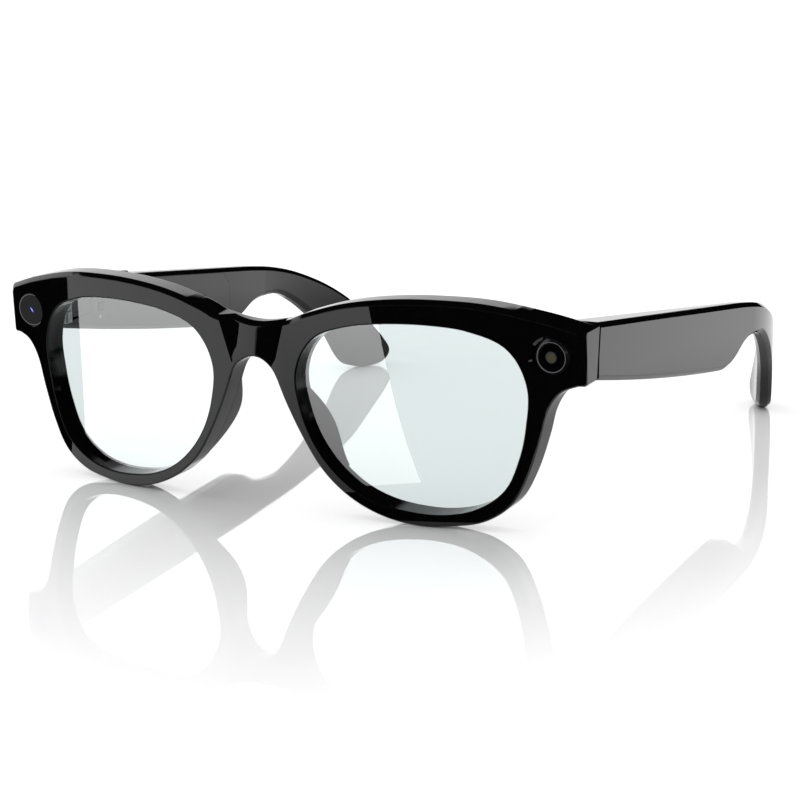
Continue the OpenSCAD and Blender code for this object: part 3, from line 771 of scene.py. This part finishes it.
def saddle_depth(across, height):
    """How deep the bridge's recess lies at a place on the front."""
    rise = (height - SADDLE_FOOT) / SADDLE_H
    if rise <= 0:
        return 0
    x, z, run, up = SADDLE_RIM
    rim = x + (height - z) * run / up
    crown = (across * across / 46 - 0.25) * min(1, 3 * rise)
    wall = SADDLE_RAMP * (height - SADDLE_FOOT) + 0.02
    return (SADDLE * rise + crown) * max(0, min(1, (rim - abs(across)) / wall))


def slice_for_bend(bm, reach):
    """Cuts flat faces often enough to follow the front's curve, out to a reach on both sides."""
    cuts = math.ceil(reach / BEND_STEP)
    for i in range(1 - cuts, cuts):
        slice_at(bm, (i * BEND_STEP, 0, 0), (1, 0, 0))


def carve_saddle(bm):
    """Cuts the bridge's face finely, along the recess's edges too, and sinks the recess."""
    def in_bridge(c):
        return abs(c.x) < 12 and c.z > 30
    for i in range(-9, 10):
        slice_at(bm, (i * 0.9, 0, 0), (1, 0, 0), in_bridge)
    for i in range(9):
        slice_at(bm, (0, 0, 31.5 + i * 1.5), (0, 0, 1), in_bridge)
    for side in (LEFT, RIGHT):
        for x, z, run, up in (SADDLE_RIM, SADDLE_FLOOR):
            slice_at(bm, (side * x, 0, z), (side * up, 0, -run), in_bridge)
    for v in bm.verts:
        if v.co.y < FRONT_T / 2:
            v.co.y += saddle_depth(v.co.x, v.co.z)


def end_block(bm, side, sizes):
    """The end piece behind the front's side, back to the hinge joint."""
    corners = ((BLOCK_IN, END_LOW), (LOW_CORNER, END_LOW), (HALF_W, SIDE_LOW),
               (HALF_W, SIDE_TOP), (TOP_CORNER, END_TOP), (BLOCK_IN, END_TOP))
    block = [Vector((side * x, z)) for x, z in corners]
    if side == RIGHT:
        block.reverse()
    ends = wall_rings(bm, block, [(0, FRONT_T - 0.02)]
                      + rounded(sizes.joint_round, BLOCK_END, 0, 3)[::-1])
    cap(bm, [ends[0]])
    cap(bm, [ends[-1]])


def front_shell(sizes):
    """The front's plate with its openings and recesses, and its end blocks."""
    bm = bmesh.new()
    outline = front_outline()
    front, back = outline_widths(outline, sizes)
    outer = wall_rings(bm, outline, chamfered(front, 0, FRONT_T) + rounded(back, FRONT_T, 0)[::-1])
    fronts, backs = [outer[0]], [outer[-1]]
    for side in (LEFT, RIGHT):
        lens_front, lens_back = open_lens(bm, side, sizes)
        fronts += [lens_front, seat_eye(bm, side)]
        backs.append(lens_back)
    backs.append(sink(bm, strip_outline(0), STRIP_DEEP))
    backs.append(sink(bm, circle(INLET_AT, INLET_R, 24), INLET_DEEP))
    cap(bm, fronts)
    cap(bm, backs)
    slice_for_bend(bm, HALF_W)
    carve_saddle(bm)
    for side in (LEFT, RIGHT):
        end_block(bm, side, sizes)
    return bm


def brow_strip():
    """The strip that closes the channel in the back of the brow."""
    bm = bmesh.new()
    strip = wall_rings(bm, strip_outline(-STRIP_GAP), [(0, FRONT_T - 0.8)]
                       + rounded(0.2, FRONT_T, 0, 3)[::-1])
    cap(bm, [strip[0]])
    cap(bm, [strip[-1]])
    slice_for_bend(bm, STRIP_END)
    return bm


class OBJECT_OT_glasses_front(bpy.types.Operator):
    """Front frame with its end pieces, and the cover strip in the back of the brow"""
    bl_idname = "object.glasses_front"
    bl_label = "Front"

    def execute(self, context):
        piece("front_shell", front_shell(context.scene.glasses_sizes), front_bend, "front",
              ["gloss_black", "rim_inside"], "front_frame")
        piece("brow_strip", brow_strip(), front_bend, "front", ["satin_black"], "brow_cover")
        return {"FINISHED"}


def curved_lens(side):
    """A lens with a rounded front edge; only its front face gets the coat."""
    bm = bmesh.new()
    rings = wall_rings(bm, lens_outline(side, LENS_LIP),
                       rounded(LENS_EDGE, LENS_SET, FRONT_T, 2) + [(0, LENS_SET + LENS_T)])
    cap(bm, [rings[0]])
    cap(bm, [rings[-1]])
    for i in range(3, 27):
        slice_at(bm, (side * i * BEND_STEP, 0, 0), (1, 0, 0))
    for z in range(4, 48, 4):
        slice_at(bm, (0, 0, z), (0, 0, 1))
    for f in bm.faces:
        f.material_index = 0 if all(v.co.y < LENS_SET + LENS_EDGE + 0.05 for v in f.verts) else 1
    return bm


class OBJECT_OT_glasses_lenses(bpy.types.Operator):
    """The two curved lenses, seated in the rims"""
    bl_idname = "object.glasses_lenses"
    bl_label = "Lenses"

    def execute(self, context):
        for side, name in SIDES:
            piece("lens_" + name + "_clear", curved_lens(side), front_bend, "front",
                  ["clear_lens", "lens_back"], "lens_" + name)
        return {"FINISHED"}


def nose_pad(rim):
    """A swelling behind a stretch of the left rim, highest at its middle."""
    bm = bmesh.new()
    loop = ([p + Vector((-0.03, 0)) for p in rim]
            + [p + Vector((PAD_WIDE * 0.9, PAD_WIDE * 0.42)) for p in reversed(rim)])
    along = [math.sin(math.pi * (PAD_TOP - p.y) / (PAD_TOP - PAD_LOW)) for p in rim]
    along += along[::-1]
    rear = [FRONT_T + 0.1 + PAD_RISE * max(0.0, a) ** 1.4 for a in along]
    stations = [(0, FRONT_T - 0.8)]
    for k in range(5):
        a = math.pi / 8 * k
        depths = [d - PAD_ROUND * (1 - math.sin(a)) for d in rear]
        stations.append((PAD_ROUND * (1 - math.cos(a)), depths))
    rings = wall_rings(bm, loop, stations)
    last = len(loop) - 1
    for ring in (rings[0], rings[-1]):
        for i in range(len(rim) - 1):
            bm.faces.new((ring[i], ring[i + 1], ring[last - 1 - i], ring[last - i]))
    return bm


class OBJECT_OT_glasses_pads(bpy.types.Operator):
    """The two nose pads behind the rims"""
    bl_idname = "object.glasses_pads"
    bl_label = "Nose pads"

    def execute(self, context):
        rim = [p for p in front_outline() if 0 < p.x < 20 and PAD_LOW < p.y < PAD_TOP]
        for side, name in SIDES:
            def bend(across, depth, height, side=side):
                return front_bend(side * across, depth, height)
            piece("nose_pad_" + name + "_soft", nose_pad(rim), bend, "front", ["pad_black"],
                  "nose_pad_" + name)
        return {"FINISHED"}


def lathe(profile):
    """Spins a profile of (radius, depth) round the depth axis."""
    bm = bmesh.new()
    verts = [bm.verts.new((r, d, 0)) for r, d in profile]
    edges = [bm.edges.new(pair) for pair in zip(verts, verts[1:])]
    bmesh.ops.spin(bm, geom=verts + edges, cent=(0, 0, 0), axis=(0, 1, 0), angle=2 * math.pi,
                   steps=72, use_merge=True)
    return bm


def collar(rim, drop):
    """A ring round a window, with a turned edge inside, painted grey as a highlight, and its outer edge set
    back.
    """
    bm = lathe([(COLLAR_IN, 0.95), (rim, 0.95), (rim, 0.22), (rim + 0.03, 0.17), (rim + 0.09, 0.15),
                (rim + 0.15, 0.16), (3.84, 0.17 + drop), (3.91, 0.2 + drop), (COLLAR_OUT, 0.3 + drop),
                (COLLAR_OUT, COLLAR_BACK), (COLLAR_IN, COLLAR_BACK), (COLLAR_IN, 0.95)])
    for f in bm.faces:
        c = f.calc_center_median()
        # The turned edge gets the grey of the painted highlight.
        f.material_index = 1 if math.hypot(c.x, c.z) < rim + 0.13 and c.y < 0.9 else 0
    return bm


def window(rim):
    """A round cover glass with a softened edge."""
    return lathe([(0, WINDOW_SET), (1.2, WINDOW_SET), (2.4, WINDOW_SET), (rim - 0.2, WINDOW_SET),
                  (rim - 0.1, WINDOW_SET + 0.03), (rim - 0.05, WINDOW_SET + 0.12), (rim - 0.05, 0.9),
                  (0, 0.9)])


class OBJECT_OT_glasses_eyes(bpy.types.Operator):
    """Rings and cover windows of the camera and the light"""
    bl_idname = "object.glasses_eyes"
    bl_label = "Camera and light"

    def execute(self, context):
        # The light's window is smaller, in a ring that slopes down into the dish.
        for side, name, rim, drop in ((RIGHT, "camera", 3.6, 0.0), (LEFT, "light", 3.12, 0.2)):
            piece(name + "_collar", collar(rim, drop), eye_bend(side), "front",
                  ["dark_metal", "edge_painted_highlight"], name + "_ring")
            piece(name + "_glass", window(rim), eye_bend(side), "front", [name + "_glass"],
                  name + "_window")
        return {"FINISHED"}


def temple_shell(sizes):
    """A temple with the bay for its inner cover and the pocket for its hinge leaf."""
    bm = bmesh.new()
    outline = temple_outline()
    widths = [sizes.temple_chamfer] * (len(outline) - 1) + [sizes.joint_round]
    outer = wall_rings(bm, outline, chamfered(widths, 0, TEMPLE_T)
                       + chamfered(widths, TEMPLE_T, 0)[::-1])
    cap(bm, [outer[0]])
    ledge = TEMPLE_T - LEDGE_DEEP
    bay = wall_rings(bm, cover_outline(COVER_GAP), [(0, TEMPLE_T), (0, ledge), (LEDGE, ledge),
                                                    (LEDGE, WALL)])
    cap(bm, [bay[-1]])
    leaf = wall_rings(bm, [Vector(p) for p in LEAF_POCKET], [(0, TEMPLE_T), (0, TEMPLE_T - LEAF_DEEP)])
    cap(bm, [leaf[-1]])
    cap(bm, [outer[-1], bay[0], leaf[0]])
    # Cuts that let the ear hook curve.
    for y in [BEND_Y - 0.01] + [BEND_Y + i * 2 for i in range(1, 28)]:
        slice_at(bm, (y, 0, 0), (1, 0, 0))
    # The inner face is buffed less than the rest.
    for f in bm.faces:
        f.material_index = 1 if f.calc_center_median().y > TEMPLE_T - 0.05 else 0
    return bm


def rectangle(left, right, low, top):
    return [Vector(p) for p in ((left, low), (right, low), (right, top), (left, top))]


def inner_cover(holes):
    """A temple's inner cover, with the speaker's slots and its own side's holes."""
    bm = bmesh.new()
    edge_stations = [(0, TEMPLE_T - COVER_T)]
    rings = wall_rings(bm, cover_outline(0), rounded(0.04, TEMPLE_T, 0, 2) + edge_stations)
    tops, lows = [rings[0]], [rings[-1]]
    slots = [rectangle(y, y + SLOT_W, SLOT_LOW, SLOT_TOP)
             for y in (SLOT_FROM + SLOT_STEP * i for i in range(SLOTS))]
    for hole in slots + holes:
        rings = wall_rings(bm, hole, rounded(FINE_BEVEL, TEMPLE_T, 0, 2) + edge_stations, -1)
        tops.append(rings[0])
        lows.append(rings[-1])
    cap(bm, tops)
    cap(bm, lows)
    return bm


def cover_holes(side):
    """The left cover shows the charging contacts; the right one the power key and its light."""
    if side == LEFT:
        return [circle((CONTACT_Y, z), CONTACT_R, 32) for z in CONTACT_ZS]
    y, z = POWER_AT
    return [rectangle(y - POWER_HOLE, y + POWER_HOLE, z - POWER_HOLE, z + POWER_HOLE),
            circle(STATUS_AT, STATUS_R, 24)]


class OBJECT_OT_glasses_temples(bpy.types.Operator):
    """The two temples with their inner covers"""
    bl_idname = "object.glasses_temples"
    bl_label = "Temples"

    def execute(self, context):
        for side, name in SIDES:
            body = "temple_" + name
            piece(body + "_body", temple_shell(context.scene.glasses_sizes), temple_bend(side), body,
                  ["gloss_black", "inner_black"], "temple_shell_" + name)
            piece(body + "_inner_cover", inner_cover(cover_holes(side)), temple_bend(side), body,
                  ["inner_black"], "temple_cover_" + name)
        return {"FINISHED"}


def soft_block(bm, size, place, width, segments=3):
    """A block of a size in millimetres, with rounded edges."""
    made = bmesh.ops.create_cube(bm, size=1, matrix=place @ Matrix.Diagonal((*size, 1)))["verts"]
    edges = list({e for v in made for e in v.link_edges})
    bmesh.ops.bevel(bm, geom=edges, offset=width, segments=segments, profile=0.5, affect="EDGES",
                    material=-1)


def capture_key():
    """A small key with soft edges on a wider foot, square to the temple's sloping top."""
    bm = bmesh.new()
    on_top = (Matrix.Translation((-(HALF_W - CAPTURE_IN), CAPTURE_Y, temple_top(CAPTURE_Y)))
              @ Matrix.Rotation(-math.atan(SLOPE), 4, "X"))
    soft_block(bm, (2, 3.6, 2.9), on_top @ Matrix.Translation((0, 0, -0.85)), 0.35, 4)
    soft_block(bm, (2.7, 4.4, 0.4), on_top @ Matrix.Translation((0, 0, -2.45)), 0.05, 1)
    return bm


def power_press_key():
    """A square key level with the inner cover, on a wider foot behind it."""
    bm = bmesh.new()
    y, z = POWER_AT
    face = HALF_W - temple_thickness(y)
    soft_block(bm, (1.6, 2, 2), Matrix.Translation((-(face + 0.55), y, z)), 0.2)
    soft_block(bm, (0.4, 2.6, 2.6), Matrix.Translation((-(face + 1.35), y, z)), 0.04, 1)
    return bm


class OBJECT_OT_glasses_keys(bpy.types.Operator):
    """Capture button on the right temple's top edge and the power key inside it"""
    bl_idname = "object.glasses_keys"
    bl_label = "Keys"

    def execute(self, context):
        piece("capture_key", capture_key(), unbent, "capture_button", ["gloss_black"],
              "capture_button")
        piece("power_press_key", power_press_key(), unbent, "power_key", ["satin_black"],
              "power_key")
        return {"FINISHED"}


class OBJECT_OT_glasses_inside(bpy.types.Operator):
    """Finishes of the parts that are used as packed"""
    bl_idname = "object.glasses_inside"
    bl_label = "Inside parts"

    def execute(self, context):
        for part in frame["record"]["subparts"]:
            obj = frame["nodes"][part["node"]]
            key = part["material_slot"]
            # Both windows share this slot; the pieces that show have each their own glass.
            # The camera's glass, given here to both imported windows, carries a painted blue-violet
            # highlight.
            if key == "dark_glass":
                key = "camera_glass"
            if not obj.material_slots:
                obj.data.materials.append(None)
            for holder in obj.material_slots:
                holder.material = material(key)
        return {"FINISHED"}


# ---- Studio ----------------------------------------------------------------------------------

def stage_object(name, bm, sheet):
    """An object of the studio, which isn't part of the glasses."""
    mesh = bpy.data.meshes.new(name)
    bm.to_mesh(mesh)
    bm.free()
    mesh.materials.append(sheet)
    obj = bpy.data.objects.new(name, mesh)
    bpy.context.scene.collection.objects.link(obj)
    return obj


def place_floor():
    bm = bmesh.new()
    bmesh.ops.create_circle(bm, cap_ends=True, radius=FLOOR_R, segments=96)
    stage_object("floor", bm, white_acrylic_sheet())


def place_card(name, corners, felt):
    """A card that lies just above the floor, facing up, and that only reflections see."""
    bm = bmesh.new()
    face = bm.faces.new([bm.verts.new((x, y, CARD_Z)) for x, y in corners])
    face.normal_update()
    if face.normal.z < 0:
        face.normal_flip()
    card = stage_object(name, bm, felt)
    for rays in ("camera", "diffuse", "shadow", "transmission", "volume_scatter"):
        setattr(card, "visible_" + rays, False)


def white_acrylic_sheet():
    """Polished white acrylic: a mirror image that fades away from the object."""
    made, tree = blank("white_acrylic_sheet")
    place = node(tree, "ShaderNodeTexCoord")
    part = node(tree, "ShaderNodeSeparateXYZ", links={0: place.outputs["Object"]})
    fades = [node(tree, "ShaderNodeMapRange", values={"From Min": start, "From Max": end, "To Max": most},
                  links={0: part.outputs[axis]}).outputs[0]
             for axis, start, end, most in FLOOR_FADES]
    share = fades[0]
    for fade in fades[1:]:
        times = node(tree, "ShaderNodeMath", {"operation": "MULTIPLY"}, links={0: share, 1: fade})
        share = times.outputs[0]
    matt = node(tree, "ShaderNodeBsdfDiffuse", values={"Color": (0.93, 0.93, 0.93, 1)})
    mirror = node(tree, "ShaderNodeBsdfGlossy", values={"Color": (1, 1, 1, 1), "Roughness": 0.03})
    both = node(tree, "ShaderNodeMixShader",
                links={0: share, 1: matt.outputs[0], 2: mirror.outputs[0]})
    node(tree, "ShaderNodeOutputMaterial", links={"Surface": both.outputs[0]})
    return made


def black_felt_card():
    """Black felt seen from above only, because the floor's mirror image looks up through it."""
    made, tree = blank("black_felt_card")
    under = node(tree, "ShaderNodeNewGeometry")
    matt = node(tree, "ShaderNodeBsdfDiffuse", values={"Color": (0, 0, 0, 1)})
    open_side = node(tree, "ShaderNodeBsdfTransparent")
    both = node(tree, "ShaderNodeMixShader",
                links={0: under.outputs["Backfacing"], 1: matt.outputs[0], 2: open_side.outputs[0]})
    node(tree, "ShaderNodeOutputMaterial", links={"Surface": both.outputs[0]})
    return made


def studio_world():
    """White walls that reflections see in part: the lacquer stays black where they are dark."""
    world = bpy.data.worlds.new("studio")
    world.use_nodes = True
    tree = world.node_tree
    tree.nodes.clear()
    path = node(tree, "ShaderNodeLightPath")
    place = node(tree, "ShaderNodeTexCoord")
    part = node(tree, "ShaderNodeSeparateXYZ", links={0: place.outputs["Generated"]})
    height = node(tree, "ShaderNodeMath", {"operation": "MULTIPLY_ADD"}, {1: DARK_SLOPE},
                  {0: part.outputs["X"], 2: part.outputs["Z"]})
    low = node(tree, "ShaderNodeMapRange", {"interpolation_type": "SMOOTHSTEP"},
               {"From Min": DARK_ABOVE[0], "From Max": DARK_ABOVE[1], "To Min": ROOM_LIGHT,
                "To Max": 0.0}, {0: height.outputs[0]})
    high = node(tree, "ShaderNodeMapRange",
                values={"From Min": DARK_HIGH[0], "From Max": DARK_HIGH[1]},
                links={0: part.outputs["Z"]})
    heading = node(tree, "ShaderNodeVectorMath", {"operation": "DOT_PRODUCT"}, {1: DARK_HEADING},
                   {0: place.outputs["Generated"]})
    past = node(tree, "ShaderNodeMapRange",
                values={"From Min": DARK_PAST[0], "From Max": DARK_PAST[1]},
                links={0: heading.outputs["Value"]})
    ahead = node(tree, "ShaderNodeMath", {"operation": "LESS_THAN"}, {1: 0.0}, {0: part.outputs["Y"]})
    shut = node(tree, "ShaderNodeMath", {"operation": "MULTIPLY"},
                links={0: past.outputs[0], 1: ahead.outputs[0]})
    lit = node(tree, "ShaderNodeMath", {"operation": "SUBTRACT"}, {0: 1.0}, {1: shut.outputs[0]})
    sky = low.outputs[0]
    for share in (high, lit):
        times = node(tree, "ShaderNodeMath", {"operation": "MULTIPLY"},
                     links={0: sky, 1: share.outputs[0]})
        sky = times.outputs[0]
    glossy = node(tree, "ShaderNodeMix", {"data_type": "FLOAT"}, {2: ROOM_LIGHT},
                  {0: path.outputs["Is Glossy Ray"], 3: sky})
    seen = node(tree, "ShaderNodeMix", {"data_type": "FLOAT"}, {3: ROOM_SEEN},
                {0: path.outputs["Is Camera Ray"], 2: glossy.outputs[0]})
    back = node(tree, "ShaderNodeBackground", values={"Color": (1, 1, 1, 1)},
                links={"Strength": seen.outputs[0]})
    node(tree, "ShaderNodeOutputWorld", links={"Surface": back.outputs[0]})
    return world


def place_lamp(scene):
    """One large soft lamp overhead, which reflections don't see."""
    lamp = bpy.data.lights.new("softbox", "AREA")
    lamp.shape, lamp.size, lamp.energy = "DISK", LAMP_SIZE, LAMP_WATTS
    box = bpy.data.objects.new("softbox", lamp)
    box.location = LAMP_AT
    scene.collection.objects.link(box)
    box.visible_glossy = False
    box.visible_camera = False


def place_camera(scene):
    lens = bpy.data.cameras.new("camera")
    lens.lens, lens.sensor_width, lens.clip_start, lens.clip_end = CAMERA_LENS, 36, 0.01, 50
    camera = bpy.data.objects.new("camera", lens)
    ahead = Vector(CAMERA_AHEAD).normalized()
    across = ahead.cross(Vector((0, 0, 1))).normalized()
    across = Matrix.Rotation(CAMERA_ROLL, 3, ahead) @ across
    turn = Matrix((across, across.cross(ahead), -ahead)).transposed().to_4x4()
    camera.matrix_world = Matrix.Translation(CAMERA_AT) @ turn
    scene.collection.objects.link(camera)
    scene.camera = camera


class OBJECT_OT_glasses_stage(bpy.types.Operator):
    """White glossy floor, soft light, black cards for the reflections, and the camera"""
    bl_idname = "object.glasses_stage"
    bl_label = "Stage"

    def execute(self, context):
        place_floor()
        felt = black_felt_card()
        for name, corners in CARDS.items():
            place_card(name, corners, felt)
        place_lamp(context.scene)
        context.scene.world = studio_world()
        context.scene.view_settings.view_transform = "Standard"
        place_camera(context.scene)
        return {"FINISHED"}


class VIEW3D_PT_glasses(bpy.types.Panel):
    """Lists the glasses' sizes and building steps"""
    bl_label = "Glasses"
    bl_space_type = "VIEW_3D"
    bl_region_type = "UI"
    bl_category = "Glasses"

    def draw(self, context):
        sizes = context.scene.glasses_sizes
        for key in GlassesSizes.__annotations__:
            self.layout.prop(sizes, key)
        for step in STEPS:
            self.layout.operator(step.bl_idname)


STEPS = (OBJECT_OT_glasses_inside, OBJECT_OT_glasses_front, OBJECT_OT_glasses_lenses,
         OBJECT_OT_glasses_pads, OBJECT_OT_glasses_eyes, OBJECT_OT_glasses_temples,
         OBJECT_OT_glasses_keys, OBJECT_OT_glasses_stage)
CLASSES = (GlassesSizes, *STEPS, VIEW3D_PT_glasses)


def register():
    for cls in CLASSES:
        bpy.utils.register_class(cls)
    bpy.types.Scene.glasses_sizes = PointerProperty(type=GlassesSizes)


def unregister():
    del bpy.types.Scene.glasses_sizes
    for cls in reversed(CLASSES):
        bpy.utils.unregister_class(cls)


def main():
    register()
    for step in STEPS:
        group, name = step.bl_idname.split(".")
        getattr(getattr(bpy.ops, group), name)()


if __name__ == "__main__":
    main()
